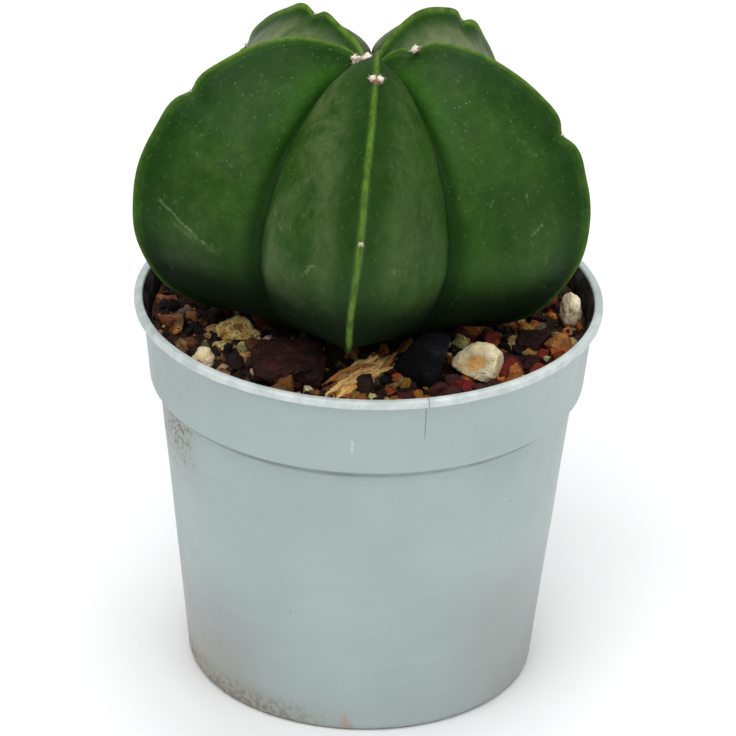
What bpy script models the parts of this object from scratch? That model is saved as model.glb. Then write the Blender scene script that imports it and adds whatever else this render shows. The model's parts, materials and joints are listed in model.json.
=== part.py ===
# Potted bishop's cap cactus: a five-ribbed stem with its root neck and wool tufts,
# the growing mix and the stones on it, in a thin-walled plastic grower pot.
# The origin is the centre of the pot's underside. +Z is up and -Y is the front.

import math
import random

import bmesh
import bpy
import numpy as np
from mathutils import Euler, Matrix, Vector, noise

MM = 0.001
GAP = 0.3 * MM  # clearance between pieces that touch

# Grower pot
POT_HEIGHT = 47.5 * MM
RIM_RADIUS = 27.5 * MM
WALL = 0.6 * MM
LIP_HEIGHT = 1.0 * MM
COLLAR_TOP_RADIUS = 26.5 * MM
COLLAR_FOOT_RADIUS = 25.6 * MM
COLLAR_HEIGHT = 10.3 * MM
SHOULDER_RADIUS = 24.5 * MM
FOOT_RADIUS = 20.75 * MM
FOOT_CHAMFER = 0.7 * MM
FOOT_RING_WIDTH = 2.0 * MM
PAD_RADIUS = 5.0 * MM
FLOOR_LIFT = 1.2 * MM
POT_SEGMENTS = 72
DRAIN_COUNT = 8
DRAIN_RADIUS = 1.7 * MM
DRAIN_CIRCLE_RADIUS = 12.0 * MM
DRAIN_SEGMENTS = 16

# Growing mix
HEADSPACE = 4.0 * MM
BED_ROUGHNESS = 0.35 * MM
BED_GRAIN = 5.0 * MM
BED_RINGS = 12
BED_SEGMENTS = 48

# Cactus stem. Its own origin is where its neck enters the growing mix.
STEM_PLACE = (-2.7 * MM, -2.0 * MM)
STEM_LEAN = (math.radians(-4.5), math.radians(3.6), 0.0)
RIBS = {
    # turn of the crest and of the valley after it, reach and lift against the outlines below
    "front": {"turn": 0.0, "valley": 35.4, "reach": 1.003, "lift": 0.07},
    "right": {"turn": 73.6, "valley": 106.9, "reach": 1.010, "lift": -0.25},
    "back_right": {"turn": 140.1, "valley": 177.7, "reach": 0.968, "lift": 0.46},
    "back_left": {"turn": 215.3, "valley": 252.1, "reach": 1.035, "lift": -1.35},
    "left": {"turn": 288.8, "valley": 323.6, "reach": 0.993, "lift": -0.95},
}
LIFT_START = 0.12  # the lift grows over this first share of the crest, and fades out to the neck
# Radius and height in millimetres, from the sunken crown down to the neck
CREST_OUTLINE = [
    (0.6, 33.1), (3.7, 35.5), (8.7, 37.1), (14.0, 36.3), (19.3, 33.4), (23.6, 28.9), (26.4, 23.2),
    (26.9, 18.2), (25.9, 13.1), (22.5, 7.8), (17.5, 4.8), (12.0, 3.7), (7.6, 3.0), (4.6, 1.2),
]
VALLEY_OUTLINE = [
    (0.5, 32.2), (4.4, 32.0), (7.8, 31.0), (10.7, 29.1), (14.8, 24.2), (17.3, 18.1),
    (17.5, 13.0), (15.3, 7.4), (11.5, 3.6), (7.6, 1.9), (4.3, 0.7),
]
ROOT_OUTLINE = [(4.3, -0.6), (4.1, -3.0), (3.5, -6.5), (2.4, -10.0), (1.2, -12.5)]
ROOT_TIP = -13.2
PIT_CLEARANCE = 0.45  # millimetres between the root and its pit in the growing mix
PIT_MOUTH = (0.6, 3.0)  # how much wider the pit opens, and how high above the neck
PIT_SEGMENTS = 32
ROWS = 34
FLANK_STEPS = 5
FLANK_BULGE = 0.12  # share of the flank's width
FLANK_RISE = 1.25  # the flank is thin at its crest,
FLANK_FALL = 0.62  # and fullest past its middle
TUCK_START = 0.55  # how far down the flanks begin to flatten
TUCK_LENGTH = 0.25

# Wool tufts: how far down each crest they sit, from crown (0) to neck (1)
TUFT_PLACES = {
    "front": [0.215, 0.505],
    "right": [0.082, 0.380],
    "back_right": [0.262],
    "back_left": [0.165, 0.400],
    "left": [0.340],
}
TUFT_RADIUS = 0.65 * MM
TUFT_HEIGHT = 0.35 * MM
CROWN_WOOL_RADIUS = 1.5 * MM
CROWN_WOOL_HEIGHT = 0.8 * MM

# Named stones and chips: place across the bed, size and turn, in millimetres and degrees
STONES = {
    "lava_stone_large": {
        "place": (-9.0, -15.6), "size": (8.8, 7.4, 4.6), "turn": 20, "cuts": 3, "seed": 3, "slot": "lava",
    },
    "bark_chip_front": {
        "place": (-0.9, -16.4), "size": (11.0, 3.0, 2.0), "turn": 52, "cuts": 6, "seed": 8, "slot": "bark",
    },
    "charcoal_chip": {
        "place": (6.4, -14.9), "size": (6.4, 5.4, 5.4), "turn": 6, "cuts": 9, "seed": 5, "slot": "charcoal",
    },
    "pumice_pebble_front": {
        "place": (12.9, -13.4), "size": (6.2, 5.0, 4.6), "turn": 12, "cuts": 3, "seed": 2, "slot": "pumice",
    },
    "pumice_pebble_right": {
        "place": (23.7, 0.4), "size": (2.6, 4.0, 4.4), "turn": 4, "cuts": 3, "seed": 9, "slot": "pumice",
    },
    "ochre_stone_left": {
        "place": (-14.9, -6.0), "size": (5.4, 4.4, 3.0), "turn": -25, "cuts": 4, "seed": 12, "slot": "ochre",
    },
    "cream_pebble_left": {
        "place": (-19.0, -12.6), "size": (3.2, 2.2, 2.4), "turn": 35, "cuts": 3, "seed": 21, "slot": "pumice",
    },
    "lava_stone_right": {
        "place": (19.2, -6.0), "size": (4.4, 3.4, 2.8), "turn": 40, "cuts": 5, "seed": 14, "slot": "lava",
    },
    "pumice_pebble_back": {
        "place": (6.0, 20.0), "size": (5.4, 4.4, 3.6), "turn": -10, "cuts": 3, "seed": 17, "slot": "pumice",
    },
    "lava_stone_back": {
        "place": (-13.5, 17.2), "size": (6.2, 5.0, 3.6), "turn": 30, "cuts": 5, "seed": 19, "slot": "lava",
    },
    "bark_chip_back": {
        "place": (16.2, 15.2), "size": (7.0, 2.8, 2.0), "turn": -38, "cuts": 6, "seed": 23, "slot": "bark",
    },
}
STONE_LUMPS = 0.22  # share of a stone's radius
STONE_FLATS = (0.68, 0.88)  # how far from a stone's centre its flats are trimmed
GRIT_SLOTS = ["lava", "ochre", "grit", "lava", "lava", "grit"]
GRIT_COUNT = 24
GRIT_SIZES = (1.9, 3.2)
GRIT_RING = (16.5, 23.8)

FINISHES = {
    "pot": {"color": (0.42, 0.54, 0.57), "roughness": 0.42},
    "mix": {"color": (0.035, 0.022, 0.016), "roughness": 0.95},
    "stem": {"color": (0.045, 0.120, 0.030), "roughness": 0.45},
    "wool": {"color": (0.75, 0.66, 0.56), "roughness": 0.95},
    "lava": {"color": (0.120, 0.030, 0.020), "roughness": 0.85},
    "bark": {"color": (0.340, 0.150, 0.055), "roughness": 0.80},
    "charcoal": {"color": (0.012, 0.012, 0.014), "roughness": 0.60},
    "pumice": {"color": (0.720, 0.620, 0.440), "roughness": 0.85},
    "ochre": {"color": (0.450, 0.300, 0.130), "roughness": 0.85},
    "grit": {"color": (0.230, 0.160, 0.110), "roughness": 0.85},
}


def clear_scene():
    for thing in list(bpy.data.objects):
        bpy.data.objects.remove(thing, do_unlink=True)


def make_material(slot):
    finish = FINISHES[slot]
    material = bpy.data.materials.new(slot)
    material.use_nodes = True
    shader = material.node_tree.nodes["Principled BSDF"]
    shader.inputs["Base Color"].default_value = (*finish["color"], 1.0)
    shader.inputs["Roughness"].default_value = finish["roughness"]
    shader.inputs["Metallic"].default_value = 0.0
    return material


def add_object(name, bm, slot, smooth_angle=40):
    mesh = bpy.data.meshes.new(name)
    bm.to_mesh(mesh)
    bm.free()
    mesh.shade_smooth()
    mesh.set_sharp_from_angle(angle=math.radians(smooth_angle))
    mesh.materials.append(bpy.data.materials[slot])
    thing = bpy.data.objects.new(name, mesh)
    bpy.context.scene.collection.objects.link(thing)
    return thing


def wrap_faces(bm, rings, closed_start=None, closed_end=None):
    """Join rings of vertices into a skin, and close its ends onto single points."""
    count = len(rings[0])
    for upper, lower in zip(rings, rings[1:]):
        for j in range(count):
            k = (j + 1) % count
            bm.faces.new((upper[j], lower[j], lower[k], upper[k]))
    for j in range(count):
        k = (j + 1) % count
        if closed_start:
            bm.faces.new((closed_start, rings[0][j], rings[0][k]))
        if closed_end:
            bm.faces.new((closed_end, rings[-1][k], rings[-1][j]))


def lathe(profile, segments, height_at=None):
    """Turn an outline that starts and ends on the axis, from its top end down its outer side."""
    bm = bmesh.new()
    rings = []
    for radius, height in profile[1:-1]:
        ring = []
        for j in range(segments):
            angle = 2 * math.pi * j / segments
            x = radius * math.cos(angle)
            y = radius * math.sin(angle)
            z = height_at(x, y, height) if height_at else height
            ring.append(bm.verts.new((x, y, z)))
        rings.append(ring)
    ends = [bm.verts.new((0, 0, height_at(0, 0, z) if height_at else z)) for _, z in (profile[0], profile[-1])]
    wrap_faces(bm, rings, ends[0], ends[1])
    return bm


def cut(target, cutter_bm, name):
    """Take a cutter's volume out of a target, and leave the cutter as a guide."""
    mesh = bpy.data.meshes.new(name)
    cutter_bm.to_mesh(mesh)
    cutter_bm.free()
    cutter = bpy.data.objects.new(name, mesh)
    bpy.context.scene.collection.objects.link(cutter)
    cutter.hide_render = True
    cutter.display_type = "WIRE"
    modifier = target.modifiers.new(name, "BOOLEAN")
    modifier.operation = "DIFFERENCE"
    modifier.solver = "EXACT"
    modifier.object = cutter
    return cutter


# Pot

def pot_radius(height):
    """Outer radius of the pot's wall at a height."""
    shoulder = POT_HEIGHT - COLLAR_HEIGHT
    if height < shoulder:
        return FOOT_RADIUS + (SHOULDER_RADIUS - FOOT_RADIUS) * height / shoulder
    share = (height - shoulder) / COLLAR_HEIGHT
    return COLLAR_FOOT_RADIUS + (COLLAR_TOP_RADIUS - COLLAR_FOOT_RADIUS) * share


def pot_profile():
    shoulder = POT_HEIGHT - COLLAR_HEIGHT
    foot_inner = FOOT_RADIUS - FOOT_CHAMFER - FOOT_RING_WIDTH
    lip_foot = POT_HEIGHT - LIP_HEIGHT
    inside = [
        (0, WALL),
        (PAD_RADIUS - WALL, WALL),
        (PAD_RADIUS + FLOOR_LIFT - WALL, FLOOR_LIFT + WALL),
        (foot_inner - FLOOR_LIFT / 2 + WALL, FLOOR_LIFT + WALL),
        (foot_inner + WALL, WALL),
        (FOOT_RADIUS - WALL - FOOT_CHAMFER, WALL),
        (FOOT_RADIUS - WALL, WALL + FOOT_CHAMFER),
        (SHOULDER_RADIUS - WALL, shoulder + WALL),
        (COLLAR_FOOT_RADIUS - WALL, shoulder + WALL * 1.5),
        (COLLAR_TOP_RADIUS - WALL, lip_foot),
    ]
    lip = [
        (RIM_RADIUS - 0.9 * MM, POT_HEIGHT - 0.15 * MM),
        (RIM_RADIUS - 0.7 * MM, POT_HEIGHT),
        (RIM_RADIUS - 0.3 * MM, POT_HEIGHT),
        (RIM_RADIUS, POT_HEIGHT - 0.3 * MM),
        (RIM_RADIUS, lip_foot + 0.15 * MM),
        (RIM_RADIUS - 0.15 * MM, lip_foot),
        (COLLAR_TOP_RADIUS, lip_foot - 0.1 * MM),
    ]
    outside = [
        (COLLAR_FOOT_RADIUS, shoulder + 0.4 * MM),
        (COLLAR_FOOT_RADIUS - 0.3 * MM, shoulder),
        (SHOULDER_RADIUS, shoulder),
        (FOOT_RADIUS, FOOT_CHAMFER),
        (FOOT_RADIUS - 0.3 * FOOT_CHAMFER, 0.3 * FOOT_CHAMFER),
        (FOOT_RADIUS - FOOT_CHAMFER, 0),
        (foot_inner, 0),
        (foot_inner - FLOOR_LIFT / 2, FLOOR_LIFT),
        (PAD_RADIUS + FLOOR_LIFT, FLOOR_LIFT),
        (PAD_RADIUS, 0),
        (0, 0),
    ]
    return inside + lip + outside


def drain_cutters():
    bm = bmesh.new()
    for i in range(DRAIN_COUNT):
        angle = 2 * math.pi * (i + 0.5) / DRAIN_COUNT
        place = Vector((math.cos(angle), math.sin(angle), 0)) * DRAIN_CIRCLE_RADIUS
        place.z = FLOOR_LIFT + WALL / 2
        bmesh.ops.create_cone(
            bm, cap_ends=True, segments=DRAIN_SEGMENTS, radius1=DRAIN_RADIUS, radius2=DRAIN_RADIUS,
            depth=4 * WALL, matrix=Matrix.Translation(place),
        )
    return bm


def build_pot():
    # The outline runs up the inside and down the outside, so the skin faces out
    pot = add_object("pot", lathe(pot_profile(), POT_SEGMENTS), "pot")
    cut(pot, drain_cutters(), "drain_hole_cutter")


# Growing mix

BED_HEIGHT = POT_HEIGHT - HEADSPACE


def bed_height(x, y):
    """Height of the growing mix's uneven top."""
    bump = noise.noise(Vector((x, y, 0.0)) / BED_GRAIN)
    return BED_HEIGHT + BED_ROUGHNESS * bump


def mix_profile():
    shoulder = POT_HEIGHT - COLLAR_HEIGHT
    inset = WALL + GAP
    bottom = FLOOR_LIFT + inset
    top_radius = pot_radius(BED_HEIGHT) - inset
    top = [(top_radius * i / BED_RINGS, BED_HEIGHT) for i in range(BED_RINGS + 1)]
    side = [
        (COLLAR_FOOT_RADIUS - inset, shoulder + 1.5 * WALL + 1.5 * GAP),
        (SHOULDER_RADIUS - inset, shoulder + WALL + GAP),
        (FOOT_RADIUS - inset, bottom + FOOT_CHAMFER),
        (FOOT_RADIUS - inset - FOOT_CHAMFER, bottom),
    ]
    return top + side + [(0, bottom)]


def mix_surface(x, y, height):
    return bed_height(x, y) if height == BED_HEIGHT else height


def root_pit_cutter():
    """The root's own outline, grown by the clearance, where the stem stands."""
    wider, top = PIT_MOUTH
    profile = [(0, top), (ROOT_OUTLINE[0][0] + PIT_CLEARANCE + wider, top)]
    profile += [(radius + PIT_CLEARANCE, height) for radius, height in ROOT_OUTLINE]
    profile.append((0, ROOT_TIP - PIT_CLEARANCE))
    bm = lathe([(radius * MM, height * MM) for radius, height in profile], PIT_SEGMENTS)
    bm.transform(stem_matrix())
    return bm


def build_mix():
    mix = add_object("growing_mix", lathe(mix_profile(), BED_SEGMENTS, mix_surface), "mix")
    cut(mix, root_pit_cutter(), "root_pit_cutter")


# Cactus stem

def stem_matrix():
    place = Vector((*STEM_PLACE, BED_HEIGHT))
    return Matrix.Translation(place) @ Euler(STEM_LEAN).to_matrix().to_4x4()


def smooth_step(value):
    held = np.clip(value, 0, 1)
    return held * held * (3 - 2 * held)


def smooth_outline(points, count):
    """Evenly spaced points on a smooth curve through the given ones."""
    known = np.array(points, float)
    padded = np.vstack([2 * known[0] - known[1], known, 2 * known[-1] - known[-2]])
    share = np.linspace(0, 1, 24, endpoint=False)[:, None]
    stretches = []
    for a, b, c, d in zip(padded, padded[1:], padded[2:], padded[3:]):
        cubic = 3 * b - a - 3 * c + d
        square = 2 * a - 5 * b + 4 * c - d
        stretches.append(b + 0.5 * ((c - a) * share + square * share**2 + cubic * share**3))
    fine = np.vstack(stretches + [known[-1:]])
    steps = np.linalg.norm(np.diff(fine, axis=0), axis=1)
    along = np.concatenate([[0], np.cumsum(steps)])
    wanted = np.linspace(0, along[-1], count)
    return np.stack([np.interp(wanted, along, fine[:, 0]), np.interp(wanted, along, fine[:, 1])], axis=1)


def around(outline, turn, reach=1.0, lift=0.0):
    """Stand an outline of radius and height up at a turn about the stem, from the front."""
    angle = math.radians(turn)
    radius = outline[:, 0] * reach
    height = outline[:, 1] + lift
    return np.stack([radius * math.sin(angle), -radius * math.cos(angle), height], axis=1)


def rib_crest(rib, count):
    down = np.linspace(0, 1, count)
    share = smooth_step(down / LIFT_START) * (1 - down**2)
    return around(smooth_outline(CREST_OUTLINE, count), rib["turn"], rib["reach"], rib["lift"] * share)


def fullness(share):
    """How far a flank stands out between its crest (0) and the valley beside it (1)."""
    peak = FLANK_RISE / (FLANK_RISE + FLANK_FALL)
    highest = peak**FLANK_RISE * (1 - peak) ** FLANK_FALL
    return share**FLANK_RISE * (1 - share) ** FLANK_FALL / highest


def flank(crest, valley, side, share):
    """A line down a rib's flank, part of the way from its crest to the valley beside it."""
    chord = valley - crest
    downward = np.gradient((crest + valley) / 2, axis=0)
    outward = side * np.cross(downward, chord)
    outward /= np.linalg.norm(outward, axis=1)[:, None]
    down = np.linspace(0, 1, len(crest))
    depth = FLANK_BULGE * (1 - smooth_step((down - TUCK_START) / TUCK_LENGTH))
    swell = depth * fullness(share) * np.linalg.norm(chord, axis=1)
    return crest + chord * share + outward * swell[:, None]


def stem_columns():
    """Lines from crown to neck, in order around the stem, in millimetres."""
    ribs = list(RIBS.values())
    valley_outline = smooth_outline(VALLEY_OUTLINE, ROWS)
    columns = []
    for i, rib in enumerate(ribs):
        crest = rib_crest(rib, ROWS)
        left = around(valley_outline, ribs[i - 1]["valley"])
        right = around(valley_outline, rib["valley"])
        for step in range(FLANK_STEPS, 0, -1):
            columns.append(flank(crest, left, -1, step / FLANK_STEPS))
        for step in range(FLANK_STEPS):
            columns.append(flank(crest, right, 1, step / FLANK_STEPS))
    return columns


def build_stem():
    bm = bmesh.new()
    columns = stem_columns()
    rings = [[bm.verts.new(Vector(column[row]) * MM) for column in columns] for row in range(ROWS)]
    neck_angles = [math.atan2(column[-1][1], column[-1][0]) for column in columns]
    for radius, height in ROOT_OUTLINE:
        ring = [(radius * math.cos(angle), radius * math.sin(angle), height) for angle in neck_angles]
        rings.append([bm.verts.new(Vector(point) * MM) for point in ring])
    crown_height = float(np.mean([column[0][2] for column in columns])) - 0.2
    crown = bm.verts.new((0, 0, crown_height * MM))
    tip = bm.verts.new((0, 0, ROOT_TIP * MM))
    wrap_faces(bm, rings, crown, tip)
    bm.transform(stem_matrix())
    add_object("cactus_stem", bm, "stem", 50)


# Wool tufts

def crest_point(rib, share):
    """Place on a rib's crest and the way out from it, before the stem leans."""
    line = rib_crest(rib, 101) * MM
    i = round(share * 100)
    along = Vector(line[i + 1] - line[i - 1]).normalized()
    angle = math.radians(rib["turn"])
    across = Vector((math.cos(angle), math.sin(angle), 0))
    return Vector(line[i]), across.cross(along).normalized() * -1


def wool_tuft(name, place, outward, radius, height, seed):
    bm = bmesh.new()
    bmesh.ops.create_icosphere(bm, subdivisions=2, radius=1.0)
    for vert in bm.verts:
        fluff = 1 + 0.12 * noise.noise(vert.co * 2.5 + Vector((seed, 0, 0)))
        vert.co = Vector((vert.co.x * radius, vert.co.y * radius, vert.co.z * height)) * fluff
    turn = outward.to_track_quat("Z", "Y").to_matrix().to_4x4()
    bm.transform(stem_matrix() @ Matrix.Translation(place) @ turn)
    add_object(name, bm, "wool", 180)


def build_wool():
    seed = 0
    for rib_name, shares in TUFT_PLACES.items():
        for number, share in enumerate(shares, 1):
            seed += 1
            place, outward = crest_point(RIBS[rib_name], share)
            place += outward * (GAP + 1.15 * TUFT_HEIGHT)
            wool_tuft(f"wool_tuft_{rib_name}_{number}", place, outward, TUFT_RADIUS, TUFT_HEIGHT, seed)
    crown_place = Vector((0, 0, CREST_OUTLINE[0][1] * MM + GAP + 1.3 * CROWN_WOOL_HEIGHT))
    wool_tuft("wool_crown", crown_place, Vector((0, 0, 1)), CROWN_WOOL_RADIUS, CROWN_WOOL_HEIGHT, 40)


# Stones on the bed

def stone_mesh(size, cuts, seed, subdivisions):
    """A lumpy pebble with flats: noise moves its skin, and planes at random angles trim it."""
    draw = random.Random(seed)
    offset = Vector((seed * 3.1, 0, 0))
    bm = bmesh.new()
    bmesh.ops.create_icosphere(bm, subdivisions=subdivisions, radius=1.0)
    planes = []
    for _ in range(cuts):
        normal = Vector((draw.gauss(0, 1), draw.gauss(0, 1), draw.gauss(0, 1))).normalized()
        planes.append((normal, draw.uniform(*STONE_FLATS)))
    for vert in bm.verts:
        vert.co *= 1 + STONE_LUMPS * noise.noise(vert.co * 1.4 + offset)
        for normal, reach in planes:
            beyond = vert.co.dot(normal) - reach
            if beyond > 0:
                vert.co -= normal * beyond * 0.9
    for axis in range(3):
        low = min(vert.co[axis] for vert in bm.verts)
        high = max(vert.co[axis] for vert in bm.verts)
        for vert in bm.verts:
            vert.co[axis] = ((vert.co[axis] - low) / (high - low) - 0.5) * size[axis] * MM
    return bm


def build_stone(name, place, size, turn, cuts, seed, slot, subdivisions=2):
    """Lay a stone on the bed, so that its lowest point clears the bed by the gap."""
    bm = stone_mesh(size, cuts, seed, subdivisions)
    bm.transform(Matrix.Rotation(math.radians(turn), 4, "Z"))
    bm.transform(Matrix.Translation((place[0] * MM, place[1] * MM, 0)))
    rise = max(bed_height(vert.co.x, vert.co.y) - vert.co.z for vert in bm.verts)
    bm.transform(Matrix.Translation((0, 0, rise + GAP)))
    add_object(name, bm, slot, 35)


def scatter_grit():
    """Places for the small stones: inside the wall, clear of the stem and of each other."""
    draw = random.Random(7)
    taken = [(*stone["place"], max(stone["size"][:2]) / 2) for stone in STONES.values()]
    grit = []
    while len(grit) < GRIT_COUNT:
        size = draw.uniform(*GRIT_SIZES)
        angle = draw.uniform(0, 2 * math.pi)
        distance = draw.uniform(*GRIT_RING)
        x = distance * math.cos(angle)
        y = distance * math.sin(angle)
        if all(math.hypot(x - tx, y - ty) > size / 2 + reach + 0.5 for tx, ty, reach in taken):
            taken.append((x, y, size / 2))
            grit.append((x, y, size))
    return grit


def build_stones():
    for name, stone in STONES.items():
        build_stone(name, **stone)
    for i, (x, y, size) in enumerate(scatter_grit()):
        build_stone(
            f"grit_{i + 1:02d}", (x, y), (size, size * 0.8, size * 0.7), turn=47 * i, cuts=4, seed=60 + i,
            slot=GRIT_SLOTS[i % len(GRIT_SLOTS)], subdivisions=1,
        )


def main():
    clear_scene()
    for slot in FINISHES:
        make_material(slot)
    build_pot()
    build_mix()
    build_stem()
    build_wool()
    build_stones()


main()
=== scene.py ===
import bpy
import bmesh
import json
import math
import random
import numpy as np
from mathutils import Euler, Matrix, Vector, noise


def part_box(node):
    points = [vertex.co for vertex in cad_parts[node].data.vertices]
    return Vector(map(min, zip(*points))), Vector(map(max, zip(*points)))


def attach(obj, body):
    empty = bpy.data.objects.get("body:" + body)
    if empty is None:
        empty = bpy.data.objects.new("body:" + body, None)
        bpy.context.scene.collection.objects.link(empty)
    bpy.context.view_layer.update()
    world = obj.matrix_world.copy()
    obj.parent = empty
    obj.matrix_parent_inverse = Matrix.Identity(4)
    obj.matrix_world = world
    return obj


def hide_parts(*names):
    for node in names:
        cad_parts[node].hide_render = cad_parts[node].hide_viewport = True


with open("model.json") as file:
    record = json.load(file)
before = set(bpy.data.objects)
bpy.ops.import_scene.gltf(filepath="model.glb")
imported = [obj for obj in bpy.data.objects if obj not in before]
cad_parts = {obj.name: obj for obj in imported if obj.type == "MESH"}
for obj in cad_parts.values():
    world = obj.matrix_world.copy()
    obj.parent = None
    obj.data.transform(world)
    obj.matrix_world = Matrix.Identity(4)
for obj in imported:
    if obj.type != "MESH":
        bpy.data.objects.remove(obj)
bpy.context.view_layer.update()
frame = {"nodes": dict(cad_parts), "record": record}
mm = 0.001
pointsPerStretch = 24  # how finely a drawn curve is followed between its points
clearance = 0.3 * mm
print("frame loaded:", len(frame["nodes"]), "nodes")


class Wire:
    # a socket inside a material, so that shader maths reads as plain sums
    def __init__(self, finish, socket):
        self.finish = finish
        self.socket = socket

    def math(self, operation, first, second):
        return self.finish.node("ShaderNodeMath", {"operation": operation}, {0: first, 1: second})

    def __add__(self, other):
        return self.math("ADD", self, other)

    def __radd__(self, other):
        return self.math("ADD", other, self)

    def __sub__(self, other):
        return self.math("SUBTRACT", self, other)

    def __rsub__(self, other):
        return self.math("SUBTRACT", other, self)

    def __mul__(self, other):
        return self.math("MULTIPLY", self, other)

    def __rmul__(self, other):
        return self.math("MULTIPLY", other, self)

    def __abs__(self):
        return self.finish.node("ShaderNodeMath", {"operation": "ABSOLUTE"}, {0: self})


class Finish:
    # one material: node() adds any node, the rest are the few recipes that repeat
    def __init__(self, name):
        self.material = bpy.data.materials.new(name)
        self.material.use_nodes = True
        self.tree = self.material.node_tree
        self.shader = self.tree.nodes["Principled BSDF"]
        self.place = self.node("ShaderNodeTexCoord", {}, {}, "Object")
        self.colour = None

    def node(self, kind, settings, values, out=0):
        made = self.tree.nodes.new(kind)
        for key, value in settings.items():
            if key == "stops":
                self.setStops(made.color_ramp, value)
            else:
                setattr(made, key, value)
        for key, value in values.items():
            self.feed(made.inputs[key], value)
        return Wire(self, made.outputs[out])

    def setStops(self, ramp, stops):
        while len(ramp.elements) < len(stops):
            ramp.elements.new(0.5)
        for element, (position, colour) in zip(ramp.elements, stops):
            element.position = position
            element.color = (*colour, 1.0)

    def feed(self, socket, value):
        if isinstance(value, Wire):
            self.tree.links.new(value.socket, socket)
        elif isinstance(value, tuple) and len(value) == 3 and socket.type == "RGBA":
            socket.default_value = (*value, 1.0)
        else:
            socket.default_value = value

    def lay(self, share, tone):
        # lays a tone over the colour so far
        self.colour = self.mix(share, self.colour, tone)

    def surface(self, **values):
        words = {"roughness": "Roughness", "normal": "Normal", "specular": "Specular IOR Level",
                 "sheenWeight": "Sheen Weight"}
        self.feed(self.shader.inputs["Base Color"], self.colour)
        for key, value in values.items():
            self.feed(self.shader.inputs[words[key]], value)

    def mix(self, share, first, second):
        # colours: share of the second over the first
        return self.node("ShaderNodeMix", {"data_type": "RGBA"}, {0: share, 6: first, 7: second}, 2)

    def axes(self):
        # x, y and z in millimetres
        parts = self.node("ShaderNodeSeparateXYZ", {}, {0: self.place}).socket.node.outputs
        return [Wire(self, parts[axis]) * 1000 for axis in "XYZ"]

    def noise(self, size, detail=3.0, rough=0.55, distortion=0.0, stretch=None):
        # size is the width of one lump in millimetres
        where = self.place
        if stretch:
            where = self.node("ShaderNodeMapping", {}, {"Vector": where, "Scale": stretch})
        return self.node("ShaderNodeTexNoise", {},
                         {"Vector": where, "Scale": 1 / (size * mm), "Detail": detail, "Roughness": rough,
                          "Distortion": distortion}, "Fac")

    def cells(self, size, out="Distance"):
        return self.node("ShaderNodeTexVoronoi", {}, {"Vector": self.place, "Scale": 1 / (size * mm)}, out)

    def fade(self, value, low, high, start=0.0, end=1.0):
        # runs smoothly from start to end as the value goes from low to high
        return self.node("ShaderNodeMapRange", {"interpolation_type": "SMOOTHSTEP"},
                         {0: value, 1: low, 2: high, 3: start, 4: end})

    def ramp(self, value, stops):
        return self.node("ShaderNodeValToRGB", {"stops": stops}, {0: value})

    def attribute(self, name, out="Fac"):
        return self.node("ShaderNodeAttribute", {"attribute_name": name}, {}, out)

    def bump(self, height, depth):
        # depth in millimetres
        return self.node("ShaderNodeBump", {}, {"Height": height, "Distance": depth * mm, "Strength": 1.0})


def meshPiece(name, verts, faces, finish, replaced=(), attributes=None, sharpAngle=180):
    mesh = bpy.data.meshes.new(name)
    mesh.from_pydata([tuple(v) for v in verts], [], faces)
    return finishPiece(name, mesh, finish, replaced, attributes, sharpAngle)


def finishPiece(name, mesh, finish, replaced=(), attributes=None, sharpAngle=180):
    for key, values in (attributes or {}).items():
        layer = mesh.attributes.new(key, "FLOAT", "POINT")
        layer.data.foreach_set("value", np.asarray(values, np.float32))
    mesh.materials.append(finish.material)
    mesh.shade_smooth()
    if sharpAngle < 180:
        mesh.set_sharp_from_angle(angle=math.radians(sharpAngle))
    piece = bpy.data.objects.new(name, mesh)
    bpy.context.scene.collection.objects.link(piece)
    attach(piece, "root")
    if replaced:
        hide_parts(*replaced)
    return piece


def ringAngles(count):
    return [2 * math.pi * j / count for j in range(count)]


def ringFaces(rings, count, start=0, flip=False):
    # quads between rings of points that lie one after the other
    faces = []
    for i in range(rings - 1):
        for j in range(count):
            k = (j + 1) % count
            ring = start + i * count
            face = (ring + j, ring + count + j, ring + count + k, ring + k)
            faces.append((face[0], face[3], face[2], face[1]) if flip else face)
    return faces


def capFaces(ring, count, tip, start=True):
    faces = []
    for j in range(count):
        k = (j + 1) % count
        faces.append((tip, ring + j, ring + k) if start else (tip, ring + k, ring + j))
    return faces


def smoothLine(points, count):
    # evenly spaced points on a smooth curve through the given ones
    known = np.array(points, float)
    padded = np.vstack([2 * known[0] - known[1], known, 2 * known[-1] - known[-2]])
    share = np.linspace(0, 1, pointsPerStretch, endpoint=False)[:, None]
    parts = []
    for a, b, c, d in zip(padded, padded[1:], padded[2:], padded[3:]):
        square = 2 * a - 5 * b + 4 * c - d
        cubic = 3 * b - a - 3 * c + d
        parts.append(b + 0.5 * ((c - a) * share + square * share**2 + cubic * share**3))
    fine = np.vstack(parts + [known[-1:]])
    along = np.concatenate([[0], np.cumsum(np.linalg.norm(np.diff(fine, axis=0), axis=1))])
    wanted = np.linspace(0, along[-1], count)
    return np.stack([np.interp(wanted, along, fine[:, i]) for i in range(fine.shape[1])], axis=1)


studio = {
    "camera": (0.0, -0.4919, 0.2935), "tiltDown": 27.484, "turn": 0.015, "roll": 1.619, "lens": 229.53,
    "floor": (0.93, 0.935, 0.94), "floorSize": 3.0,
    "world": 0.30,
    "lights": [
        # name, place, aimed at, size, watts
        ("keyLight", (-0.22, -0.48, 0.85), (0, 0, 0.05), 0.80, 6.4),
        ("fillLight", (0.62, -0.50, 0.50), (0, 0, 0.05), 0.60, 2.0),
        ("topLight", (0.05, 0.25, 0.90), (0, 0, 0.06), 0.60, 4.2),
    ],
}


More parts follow.
